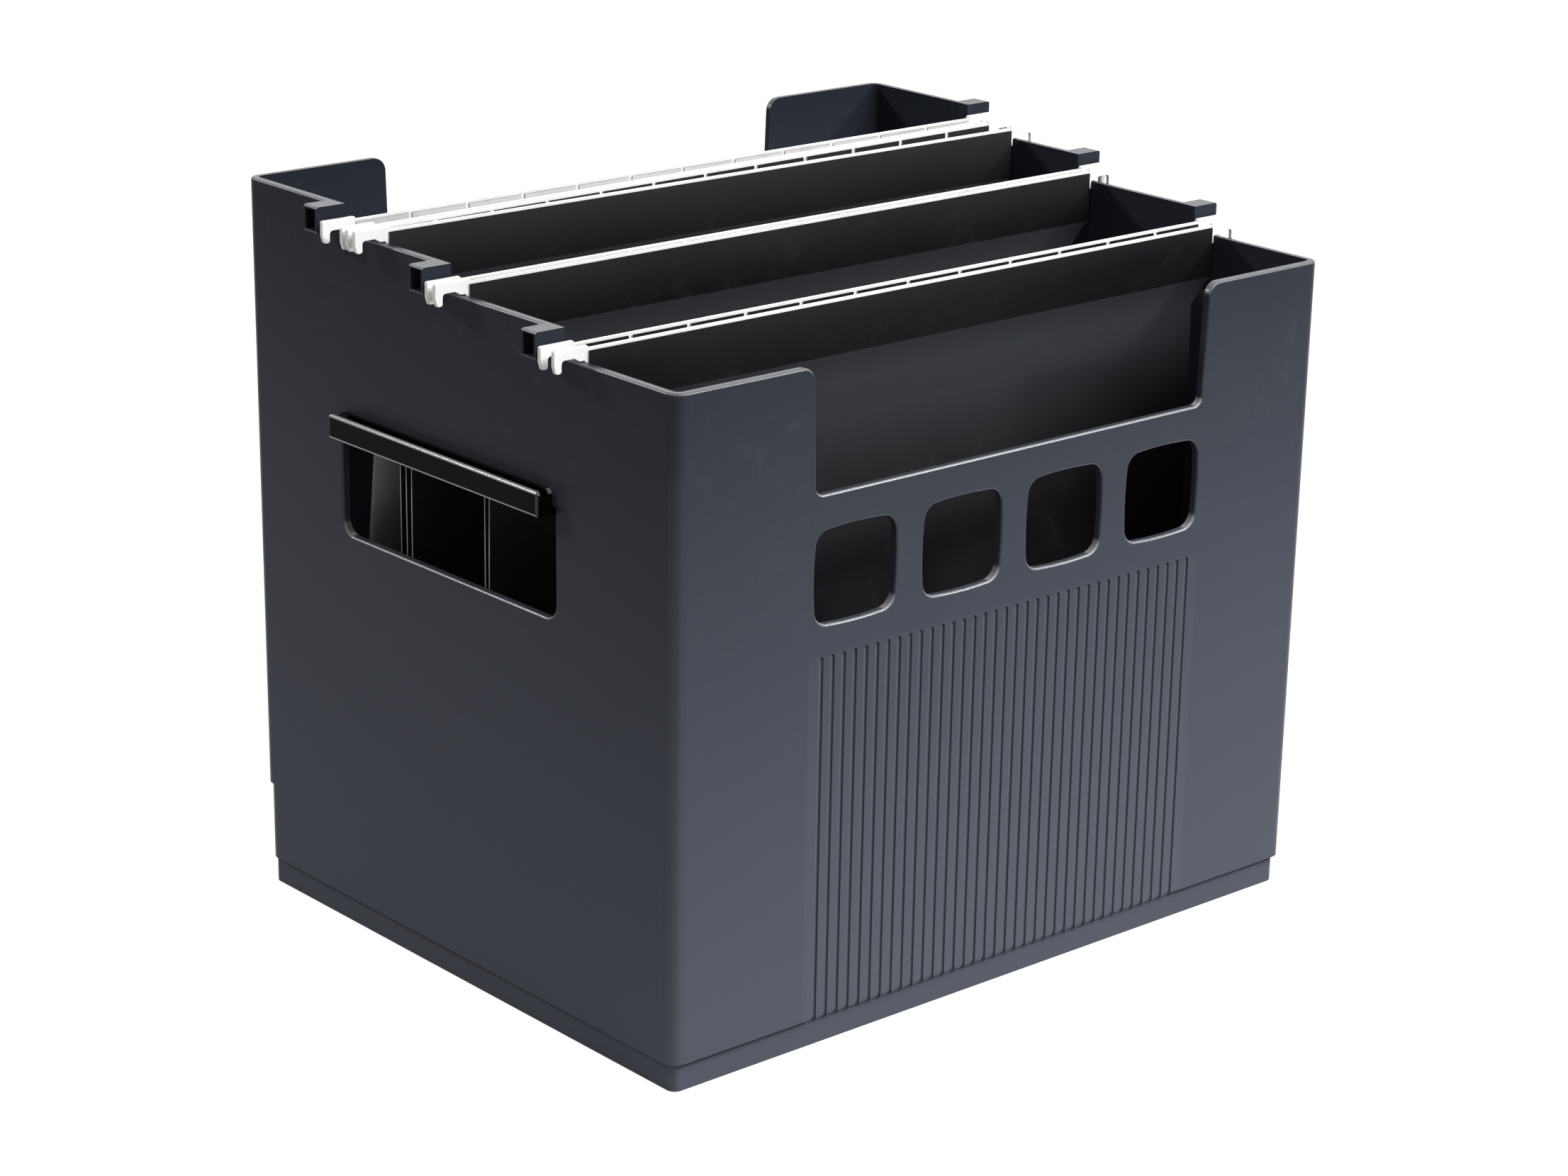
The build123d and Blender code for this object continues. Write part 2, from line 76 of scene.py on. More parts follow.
# ---- shader helpers
class Graph:
    """A shader node tree with short ways to add and join nodes."""

    MIX_INPUTS = (0, 6, 7)  # numbers of a colour Mix node's factor and two colours
    MIX_RESULT = 2

    def __init__(self, tree: Tree) -> None:
        """Start an empty graph in a material's or a group's tree."""
        self.tree = tree
        tree.nodes.clear()

    def add(self, kind: str, **values: object) -> bpy.types.Node:
        """Add a node.

        Args:
            kind: the node's type, without the ShaderNode prefix.
            values: node properties, and input sockets named with underscores.

        Returns:
            The new node.
        """
        full = kind if kind.startswith("NodeGroup") else f"ShaderNode{kind}"
        node = self.tree.nodes.new(full)
        for name, value in values.items():
            if hasattr(node, name):
                setattr(node, name, value)
            else:
                self.put(node, name.replace("_", " "), value)
        return node

    def put(self, node: bpy.types.Node, socket: str | int, value: object) -> None:
        """Give an input a value, or join it to another node's output.

        Args:
            node: the node that has the input.
            socket: the input's name or number.
            value: an output socket, a plain value, or a colour.
        """
        target = node.inputs[socket]
        if isinstance(value, Socket):
            self.tree.links.new(value, target)
        else:
            target.default_value = opaque(value) if target.type == "RGBA" else value

    def maths(
        self, operation: str, first: object, second: object = 0.0, clamp: bool = False
    ) -> Socket:
        """Combine two values.

        Args:
            operation: the Math node's operation.
            first: output socket or number.
            second: output socket or number.
            clamp: whether the result stays between 0 and 1.

        Returns:
            The result's socket.
        """
        node = self.add("Math", operation=operation, use_clamp=clamp)
        self.put(node, 0, first)
        self.put(node, 1, second)
        return node.outputs[0]

    def ramp(self, value: Socket, low: Socket | float, high: Socket | float) -> Socket:
        """Stretch a value so that low becomes 0 and high becomes 1.

        Args:
            value: the socket to stretch.
            low: what becomes 0.
            high: what becomes 1.

        Returns:
            The result's socket, clamped.
        """
        node = self.add("MapRange", Value=value, From_Min=low, From_Max=high)
        node.clamp = True
        return node.outputs[0]

    def blend(self, factor: object, first: object, second: object) -> Socket:
        """Mix two colours.

        Args:
            factor: socket or number, 0 for the first and 1 for the second.
            first: socket or colour.
            second: socket or colour.

        Returns:
            The mixed colour's socket.
        """
        node = self.add("Mix", data_type="RGBA")
        for index, value in zip(self.MIX_INPUTS, (factor, first, second)):
            self.put(node, index, value)
        return node.outputs[self.MIX_RESULT]

    def noise(self, place: Socket, scale: Socket | float, **values: object) -> Socket:
        """The value of a noise texture; values are its other inputs."""
        return self.add("TexNoise", Vector=place, Scale=scale, **values).outputs[0]

    def split(self, vector: Socket) -> bpy.types.NodeOutputs:
        """The X, Y and Z of a vector."""
        return self.add("SeparateXYZ", Vector=vector).outputs

    def group(self, tree: Tree, **values: object) -> bpy.types.Node:
        """Place a node group; values are its inputs, named with underscores."""
        return self.add("Group", node_tree=tree, **values)


def opaque(colour: Colour) -> tuple[float, float, float, float]:
    """The colour with full opacity."""
    return (*colour, 1.0)


def grey(level: float) -> Colour:
    """A neutral colour."""
    return (level, level, level)


class EffectGroups:
    """The node groups that several finishes share, each built once."""

    def __init__(self) -> None:
        """Build every group."""
        self.grain = self._grain()
        self.drift = self._drift()
        self.scuffs = self._scuffs()
        self.edge_wear = self._edge_wear()

    @staticmethod
    def _new(
        name: str, inputs: dict[str, object], outputs: dict[str, str]
    ) -> tuple[Graph, bpy.types.NodeOutputs]:
        """Make an empty group with its sockets.

        Args:
            name: the group's name.
            inputs: name and default of each input; 3 numbers are a vector, 4 a colour.
            outputs: name and socket type of each output.

        Returns:
            A graph to fill the group with, and what the group is given.
        """
        tree = bpy.data.node_groups.new(name, "ShaderNodeTree")
        kinds = {3: VECTOR, 4: COLOUR}
        for label, default in inputs.items():
            kind = kinds[len(default)] if isinstance(default, tuple) else FLOAT
            socket = tree.interface.new_socket(label, in_out="INPUT", socket_type=kind)
            socket.default_value = default
        for label, kind in outputs.items():
            tree.interface.new_socket(label, in_out="OUTPUT", socket_type=kind)
        graph = Graph(tree)
        return graph, graph.add("NodeGroupInput").outputs

    def _grain(self) -> Tree:
        """Fine spark-eroded or fibrous grain, as a height.

        Returns:
            The group's tree.
        """
        inputs = {"Position": ORIGIN, "Scale": 900.0, "Roughness": 0.6, "Pits": 0.4}
        graph, given = self._new("fine_grain", inputs, {"Height": FLOAT})
        pit_share = 0.7
        place, scale = given["Position"], given["Scale"]
        noise = graph.noise(place, scale, Detail=3.0, Roughness=given["Roughness"])
        pits = graph.add("TexVoronoi", feature="SMOOTH_F1", Vector=place)
        graph.put(pits, "Scale", graph.maths("MULTIPLY", scale, pit_share))
        graph.put(pits, "Smoothness", 0.6)
        hollow = graph.maths("MULTIPLY", pits.outputs["Distance"], given["Pits"])
        height = graph.maths("SUBTRACT", noise, hollow)
        graph.add("NodeGroupOutput", Height=height)
        return graph.tree

    def _drift(self) -> Tree:
        """Slow change of tone over a surface, between two colours.

        Returns:
            The group's tree.
        """
        inputs = {
            "Position": ORIGIN,
            "First": opaque(grey(0.1)),
            "Second": opaque(grey(0.2)),
            "Scale": 9.0,
            "Low": 0.35,
            "High": 0.65,
        }
        outputs = {"Colour": COLOUR, "Mask": FLOAT}
        graph, given = self._new("tone_drift", inputs, outputs)
        place, scale = given["Position"], given["Scale"]
        noise = graph.noise(place, scale, Detail=4.0, Roughness=0.55)
        spread = graph.ramp(noise, given["Low"], given["High"])
        mixed = graph.blend(spread, given["First"], given["Second"])
        graph.add("NodeGroupOutput", Colour=mixed, Mask=spread)
        return graph.tree

    def _scuffs(self) -> Tree:
        """Sparse streaks of handling wear, as a mask.

        Returns:
            The group's tree.
        """
        inputs = {"Position": ORIGIN, "Scale": 60.0, "Cover": 0.3}
        graph, given = self._new("handling_scuffs", inputs, {"Mask": FLOAT})
        patch_share = 0.2  # scale of the worn patches to that of the streaks
        rarest, cover_effect = 0.72, 0.25  # what a streak has to pass to show
        gain, contrast = 1.25, 6.0
        place, scale = given["Position"], given["Scale"]
        streak = graph.noise(place, scale, Detail=6.0, Roughness=0.7, Distortion=0.6)
        patch_scale = graph.maths("MULTIPLY", scale, patch_share)
        patch = graph.noise(place, patch_scale, Detail=2.0)
        eased = graph.maths("MULTIPLY", given["Cover"], cover_effect)
        limit = graph.maths("SUBTRACT", rarest, eased)
        lifted = graph.maths("MULTIPLY", streak, gain)
        above = graph.maths("SUBTRACT", lifted, limit)
        streaks = graph.maths("MULTIPLY", above, contrast, clamp=True)
        wear_and_painted_light = graph.maths("MULTIPLY", streaks, patch, clamp=True)
        graph.add("NodeGroupOutput", Mask=wear_and_painted_light)
        return graph.tree

    def _edge_wear(self) -> Tree:
        """Masks of the rounded edges and of the faces that point up.

        Edges that stand upright count for little. The Rubbed mask, for highlights
        painted into the colour, takes the edges that face up and at least the share
        Below of the rest.

        Returns:
            The group's tree.
        """
        outputs = {"Edge": FLOAT, "Rubbed": FLOAT, "Upward": FLOAT}
        inputs = {"Facing": (0.0, 0.0, 1.0), "Below": 0.0}
        graph, given = self._new("edge_wear", inputs, outputs)
        flat, turned = 0.998, 0.96  # largest part of the normal, on a face and an edge
        upright, lying = 0.1, 0.3  # steepness of a standing edge and of a lying one
        standing_share = 0.2  # coat and painted highlight of a standing edge
        highlight_from, highlight_full = 0.1, 0.35  # how far up an edge with painted highlight points
        upward_from, upward_full = 0.2, 0.7
        parts = graph.split(given["Facing"])
        rise = parts["Z"]
        steep = graph.maths("ABSOLUTE", rise)
        largest = steep
        for axis in ("X", "Y"):
            part = graph.maths("ABSOLUTE", parts[axis])
            largest = graph.maths("MAXIMUM", largest, part)
        lies = graph.ramp(steep, upright, lying)
        share = graph.maths("MULTIPLY", lies, 1.0 - standing_share)
        share = graph.maths("ADD", share, standing_share)
        edge = graph.maths("MULTIPLY", graph.ramp(largest, flat, turned), share)
        # painted highlight on the edges that face up, and on the rest as far as Below
        # allows
        above = graph.ramp(rise, highlight_from, highlight_full)
        above = graph.maths("MAXIMUM", above, given["Below"])
        painted_highlight = graph.maths("MULTIPLY", edge, above)
        upward = graph.ramp(rise, upward_from, upward_full)
        graph.add("NodeGroupOutput", Edge=edge, Rubbed=painted_highlight, Upward=upward)
        return graph.tree


# ---- finishes
class FinishName(Enum):
    """The finishes of the box, by what they are on."""

    TUB = "moulded_tub_plastic"
    GRIP = "gloss_grip_plastic"
    CARD = "folder_card"
    HEM = "folder_hem"
    # painted light: a pale colour on the rear folder's inner face, for light falling
    # between its halves
    LINING = "folder_lining"
    CARD_EDGE = "cut_card_edge"
    RAIL = "coated_rail"
    HOOK = "moulded_hook_plastic"


class Surface(Graph):
    """A material's graph, with what every finish draws on."""

    def __init__(self, material: bpy.types.Material, groups: EffectGroups) -> None:
        """Start an empty graph in a material.

        Args:
            material: the material to fill.
            groups: the shared node groups.
        """
        material.use_nodes = True
        super().__init__(material.node_tree)
        self.groups = groups
        self.place = self.add("TexCoord").outputs["Object"]


@dataclass(frozen=True, kw_only=True)
class Finish:
    """A named finish with the values that every finish has."""

    name: FinishName
    base: Colour
    drifted: Colour
    roughness: float
    rougher: float
    grain_scale: float
    grain_depth: float
    drift_scale: float
    specular: float = 0.5
    coat_roughness: float = 0.1
    pits: float = 0.4
    scuff_scale: float = 60.0
    scuff_cover: float = 0.3
    scuff_tint: Colour | None = None
    scuff_roughness: float = 0.5

    def build(self, groups: EffectGroups) -> bpy.types.Material:
        """Make the material.

        Args:
            groups: the shared node groups.

        Returns:
            The finished material.
        """
        material = bpy.data.materials.new(self.name.value)
        surface = Surface(material, groups)
        place = surface.place
        drift = surface.group(
            groups.drift,
            Position=place,
            First=self.base,
            Second=self.drifted,
            Scale=self.drift_scale,
        ).outputs
        scuffs = surface.group(
            groups.scuffs,
            Position=place,
            Scale=self.scuff_scale,
            Cover=self.scuff_cover,
        ).outputs["Mask"]
        grain = surface.group(
            groups.grain, Position=place, Scale=self.grain_scale, Pits=self.pits
        ).outputs["Height"]
        colour = drift["Colour"]
        if self.scuff_tint is not None:
            colour = surface.blend(scuffs, colour, self.scuff_tint)
        span = self.rougher - self.roughness
        spread = surface.maths("MULTIPLY", drift["Mask"], span)
        wear_and_painted_light = surface.maths("MULTIPLY", scuffs, self.scuff_roughness * span)
        added = surface.maths("ADD", spread, wear_and_painted_light)
        bump = surface.add(
            "Bump",
            Strength=1.0,
            Distance=self.grain_depth,
            Height=self.height(surface, grain),
        )
        shader = surface.add(
            "BsdfPrincipled",
            Base_Color=self.tone(surface, colour),
            Roughness=surface.maths("ADD", added, self.roughness, clamp=True),
            Normal=bump.outputs[0],
            Specular_IOR_Level=self.specular,
            Coat_Weight=self.polish(surface),
            Coat_Roughness=self.coat_roughness,
        )
        surface.add("OutputMaterial", Surface=shader.outputs[0])
        return material

    def tone(self, surface: Surface, colour: Socket) -> Socket:
        """The colour with what a special finish adds; a plain one adds nothing."""
        return colour

    def polish(self, surface: Surface) -> Socket | float:
        """How much polished coat the surface has; a plain finish has none."""
        return 0.0

    def height(self, surface: Surface, grain: Socket) -> Socket:
        """The relief that the bump reads; a finish with more than grain adds to it."""
        return grain


@dataclass(frozen=True, kw_only=True)
class EdgeGlossAndPaintedHighlight(Finish):
    """Moulded plastic with a polished coat on its rounded edges and rims, and
    highlights painted pale into the colour of its edges.
    """

    # colour of the highlights painted on the rounded edges
    painted_highlight_tint: Colour
    edge_shine: float = 1.0
    rim_shine: float = 0.5
    # share of painted highlight on edges that face down
    painted_highlight_below: float = 0.0

    def edge_masks(self, surface: Surface) -> bpy.types.NodeOutputs:
        """Place the masks of the edges, for the coat and the painted highlight, in the
        material.

        Args:
            surface: the material's graph.

        Returns:
            The group's masks.
        """
        facing = surface.add("NewGeometry").outputs["True Normal"]
        edge_masks = surface.groups.edge_wear
        return surface.group(edge_masks, Facing=facing, Below=self.painted_highlight_below).outputs

    def tone(self, surface: Surface, colour: Socket) -> Socket:
        """The colour, with highlights painted pale on the edges of the highlight mask.
        """
        return surface.blend(self.edge_masks(surface)["Rubbed"], colour, self.painted_highlight_tint)

    def polish(self, surface: Surface) -> Socket | float:
        """Polished coat on the edges, and a little of it on the faces that point up.

        Args:
            surface: the material's graph.

        Returns:
            The weight's socket.
        """
        edge_masks = self.edge_masks(surface)
        rims = surface.maths("MULTIPLY", edge_masks["Upward"], self.rim_shine)
        edges = surface.maths("MULTIPLY", edge_masks["Edge"], self.edge_shine)
        return surface.maths("MAXIMUM", rims, edges)


@dataclass(frozen=True, kw_only=True)
class MouldedShell(EdgeGlossAndPaintedHighlight):
    """Moulded walls with light painted into their colour, lighter towards the floor.

    The light painted into the front wall's grooves fades in and out between the four
    depths behind that wall's face, within the band's half width, foot and top.
    """

    # painted light: the lighter colour that the walls take towards the floor
    painted_foot_light: Colour
    # painted light: the lighter colour in the front wall's grooves
    painted_groove_light: Colour
    foot_height: float = 0.02
    # height above which no light is painted into the walls
    painted_light_top: float = 0.29
    rim_height: float = 0.22
    rim_spread: float = 0.01
    rim_calm: float = 0.5
    front_face: float = -0.127
    groove_band: tuple[float, float, float] = (0.0985, 0.0115, 0.150)
    groove_depths: tuple[float, ...] = (0.0001, 0.0007, 0.0012, 0.0018)
    groove_fade: float = 0.001

    def tone(self, surface: Surface, colour: Socket) -> Socket:
        """The colour with painted light: lighter towards the floor and in the grooves,
        and painted highlights on edges, fewer high up.

        Args:
            surface: the material's graph.
            colour: the colour so far.

        Returns:
            The colour's socket.
        """
        z = surface.split(surface.place)["Z"]
        # painted light on the walls, full at the foot height and none above the top
        # height
        wear_and_painted_light = surface.ramp(z, self.painted_light_top, self.foot_height)
        plain = surface.blend(wear_and_painted_light, colour, self.painted_foot_light)
        # painted light in the front wall's grooves
        plain = surface.blend(self.grooves(surface), plain, self.painted_groove_light)
        # fewer painted highlights on the high rims
        return surface.blend(self.rims(surface), super().tone(surface, plain), plain)

    def polish(self, surface: Surface) -> Socket | float:
        """Polished edges and rims, the high rims less so."""
        kept = surface.maths("SUBTRACT", 1.0, self.rims(surface))
        return surface.maths("MULTIPLY", super().polish(surface), kept)

    def rims(self, surface: Surface) -> Socket:
        """How much the high rims lose of the painted highlight and the coat that the
        edges get elsewhere.

        Args:
            surface: the material's graph.

        Returns:
            The mask's socket.
        """
        z = surface.split(surface.place)["Z"]
        high = surface.ramp(z, self.rim_height, self.rim_height + self.rim_spread)
        return surface.maths("MULTIPLY", high, self.rim_calm)

    def grooves(self, surface: Surface) -> Socket:
        """The insides of the front wall's grooves, where light is painted in.

        Args:
            surface: the material's graph.

        Returns:
            The mask's socket.
        """
        side, foot, top = self.groove_band
        begins, filled, thins, ends = (self.front_face + d for d in self.groove_depths)
        place = surface.split(surface.place)
        y, z = place["Y"], place["Z"]
        across = surface.maths("ABSOLUTE", place["X"])
        mask = surface.ramp(y, begins, filled)
        limits = (
            surface.ramp(y, ends, thins),
            surface.ramp(across, side, side - self.groove_fade),
            surface.ramp(z, foot, foot + self.groove_fade),
            surface.ramp(z, top, top - self.groove_fade),
        )
        for limit in limits:
            mask = surface.maths("MULTIPLY", mask, limit)
        return mask


@dataclass(frozen=True, kw_only=True)
class FibreCard(Finish):
    """Card with fibres along the sheet, with light painted in above a given height and
    its darker base below as painted shade.
    """

    fibre_scale: float = 320.0
    fibre_stretch: float = 0.12
    fibre_relief: float = 1.4
    # painted light: the lighter colour of the card above the part in the box's shade
    painted_light: Colour | None = None
    painted_light_share: float = 0.8
    painted_shade_top: float = 0.19
    painted_light_foot: float = 0.215

    def tone(self, surface: Surface, colour: Socket) -> Socket:
        """The colour, with light painted in above the shaded part, if the finish has a
        painted light colour.

        Args:
            surface: the material's graph.
            colour: the colour so far.

        Returns:
            The colour's socket.
        """
        if self.painted_light is None:
            return colour
        z = surface.split(surface.place)["Z"]
        # painted light above the card's shaded part, painted shade below
        lit_share = surface.ramp(z, self.painted_shade_top, self.painted_light_foot)
        share = surface.maths("MULTIPLY", lit_share, self.painted_light_share)
        return surface.blend(share, colour, self.painted_light)

    def height(self, surface: Surface, grain: Socket) -> Socket:
        """Grain with long fibres laid over it.

        Args:
            surface: the material's graph.
            grain: the fine grain.

        Returns:
            The height's socket.
        """
        lay = surface.add("Mapping", Scale=(self.fibre_stretch, 1.0, 1.0))
        surface.put(lay, "Vector", surface.place)
        along = lay.outputs[0]
        fibres = surface.noise(along, self.fibre_scale, Detail=3.0, Distortion=0.4)
        relief = surface.maths("MULTIPLY", fibres, self.fibre_relief)
        return surface.maths("ADD", grain, relief)


FINISHES: tuple[Finish, ...] = (
    MouldedShell(
        name=FinishName.TUB,
        base=(0.017, 0.020, 0.028),
        drifted=(0.020, 0.024, 0.032),
        roughness=0.27,
        rougher=0.33,
        grain_scale=1500.0,
        grain_depth=0.00005,
        specular=0.03,
        drift_scale=7.0,
        scuff_tint=(0.036, 0.040, 0.048),
        scuff_cover=0.04,
        # painted light on the tub's walls towards the floor
        painted_foot_light=(0.100, 0.110, 0.139),
        # painted light in the front wall's grooves
        painted_groove_light=(0.135, 0.147, 0.175),
        coat_roughness=0.24,
        # painted highlight on the tub's rounded edges
        painted_highlight_tint=(0.24, 0.245, 0.26),
    ),
    EdgeGlossAndPaintedHighlight(
        name=FinishName.GRIP,
        base=(0.003, 0.003, 0.004),
        drifted=(0.004, 0.004, 0.005),
        roughness=0.12,
        rougher=0.16,
        grain_scale=500.0,
        grain_depth=0.000004,
        specular=0.02,
        drift_scale=25.0,
        scuff_tint=(0.010, 0.010, 0.011),
        scuff_cover=0.05,
        coat_roughness=0.16,
        # painted highlight on the grip's edges, on those that face down too
        painted_highlight_tint=(0.34, 0.34, 0.35),
        painted_highlight_below=0.9,
    ),
    FibreCard(
        name=FinishName.CARD,
        base=(0.011, 0.012, 0.0135),
        drifted=(0.014, 0.015, 0.0165),
        roughness=0.66,
        rougher=0.78,
        grain_scale=1100.0,
        grain_depth=0.00006,
        specular=0.1,
        drift_scale=12.0,
        scuff_tint=(0.030, 0.032, 0.035),
        scuff_cover=0.06,
        # painted light above the part of the card in the box's shade
        painted_light=(0.030, 0.033, 0.038),
    ),
    FibreCard(
        name=FinishName.HEM,
        base=(0.007, 0.0075, 0.009),
        drifted=(0.010, 0.0105, 0.012),
        roughness=0.42,
        rougher=0.52,
        grain_scale=1300.0,
        grain_depth=0.00003,
        specular=0.05,
        drift_scale=14.0,
        scuff_tint=(0.02, 0.02, 0.022),
        scuff_cover=0.06,
        fibre_scale=200.0,
        # painted light on the top of the hem, painted shade below it
        painted_light=(0.030, 0.032, 0.035),
        painted_shade_top=0.250,
        painted_light_foot=0.280,
    ),
    # painted light on the inner face of the rear folder's back half
    FibreCard(
        name=FinishName.LINING,
        base=(0.60, 0.60, 0.62),
        drifted=(0.70, 0.70, 0.72),
        roughness=0.6,
        rougher=0.72,
        grain_scale=1100.0,
        grain_depth=0.00005,
        specular=0.2,
        drift_scale=12.0,
        scuff_tint=(0.45, 0.45, 0.46),
        scuff_cover=0.08,
    ),
    FibreCard(
        name=FinishName.CARD_EDGE,
        base=(0.58, 0.59, 0.60),
        drifted=(0.70, 0.71, 0.72),
        roughness=0.75,
        rougher=0.9,
        grain_scale=1800.0,
        grain_depth=0.0001,
        specular=0.3,
        drift_scale=60.0,
    ),
    Finish(
        name=FinishName.RAIL,
        base=(0.86, 0.86, 0.87),
        drifted=(0.90, 0.90, 0.91),
        roughness=0.28,
        rougher=0.38,
        grain_scale=260.0,
        grain_depth=0.00002,
        drift_scale=18.0,
        pits=0.1,
        scuff_tint=grey(0.62),
        scuff_cover=0.1,
    ),
    Finish(
        name=FinishName.HOOK,
        base=grey(0.88),
        drifted=grey(0.92),
        roughness=0.34,
        rougher=0.46,
        grain_scale=1400.0,
        grain_depth=0.00003,
        drift_scale=40.0,
        scuff_tint=(0.70, 0.70, 0.69),
        scuff_cover=0.15,
    ),
)


class Palette:
    """All finishes of the box, made once."""

    def __init__(self) -> None:
        """Build the shared groups and every finish."""
        groups = EffectGroups()
        self._made = {finish.name: finish.build(groups) for finish in FINISHES}

    def __getitem__(self, name: FinishName) -> bpy.types.Material:
        """The material of a finish."""
        return self._made[name]

    def dress(self, node: str, name: FinishName) -> None:
        """Give a CAD node a finish.

        Args:
            node: the node's name.
            name: the finish it gets.
        """
        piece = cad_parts[node]
        if not piece.material_slots:
            piece.data.materials.append(self[name])
        for slot in piece.material_slots:
            slot.material = self[name]
        log.info("%s: finish %s", node, name.value)


# ---- workbench
class Workpiece:
    """A mesh being modelled: a primitive that is shaped in edit mode."""

    def __init__(self, name: str) -> None:
        """Take over the primitive that was just added.

        Args:
            name: the piece's name.
        """
        self.object = bpy.context.active_object
        self.object.name = name
        self.object.data.name = name

    @staticmethod
    def clear_selection() -> None:
        """Leave edit mode and deselect every object."""
        if bpy.context.mode != "OBJECT":
            bpy.ops.object.mode_set(mode="OBJECT")
        bpy.ops.object.select_all(action="DESELECT")

    def activate(self) -> None:
        """Make this the only selected object, and the active one."""
        self.clear_selection()
        self.object.select_set(True)
        bpy.context.view_layer.objects.active = self.object

    def edit(self) -> None:
        """Enter edit mode with nothing selected."""
        self.activate()
        bpy.ops.object.mode_set(mode="EDIT")
        bpy.ops.mesh.select_all(action="DESELECT")

    def pick(self, test: Callable[[Vector], bool]) -> None:
        """Select the vertices whose place passes a test."""
        self._select("VERT", lambda vertex: test(vertex.co))

    def pick_faces(self, test: Callable[[bmesh.types.BMFace], bool]) -> None:
        """Select the faces that pass a test."""
        self._select("FACE", test)

    def _select(self, kind: str, test: Callable[[object], bool]) -> None:
        """Select what passes a test, and nothing else.

        Args:
            kind: VERT or FACE.
            test: says whether a vertex or face is picked.
        """
        bpy.ops.mesh.select_all(action="DESELECT")
        mesh = bmesh.from_edit_mesh(self.object.data)
        mesh.select_mode = {kind}
        for element in mesh.faces if kind == "FACE" else mesh.verts:
            element.select_set(test(element))
        mesh.select_flush_mode()
        bmesh.update_edit_mesh(self.object.data)

    def shift(self, x: float = 0.0, y: float = 0.0, z: float = 0.0) -> None:
        """Move what is selected."""
        bpy.ops.transform.translate(value=(x, y, z))

    def paint(self, index: int) -> None:
        """Give the selected faces a material slot."""
        self.object.active_material_index = index
        bpy.ops.object.material_slot_assign()

    def finish(self, kind: str, **values: object) -> None:
        """Add a modifier and apply it.

        Args:
            kind: the modifier's type.
            values: its settings.
        """
        self.activate()
        modifier = self.object.modifiers.new(kind.lower(), kind)
        for name, value in values.items():
            setattr(modifier, name, value)
        bpy.ops.object.modifier_apply(modifier=modifier.name)

    def settle(self) -> None:
        """Smooth the flat stretches and put the origin at the world's."""
        self.activate()
        bpy.ops.object.transform_apply(location=True, rotation=True, scale=True)
        bpy.ops.object.shade_smooth_by_angle(angle=SMOOTH_ANGLE)


# ---- folder halves
def clamped(value: float) -> float:
    """The value, kept between 0 and 1."""
    return min(max(value, 0.0), 1.0)


class Side(Enum):
    """Which half of a folder a sheet is; the value points to its inner face."""

    BACK = -1
    FRONT = 1


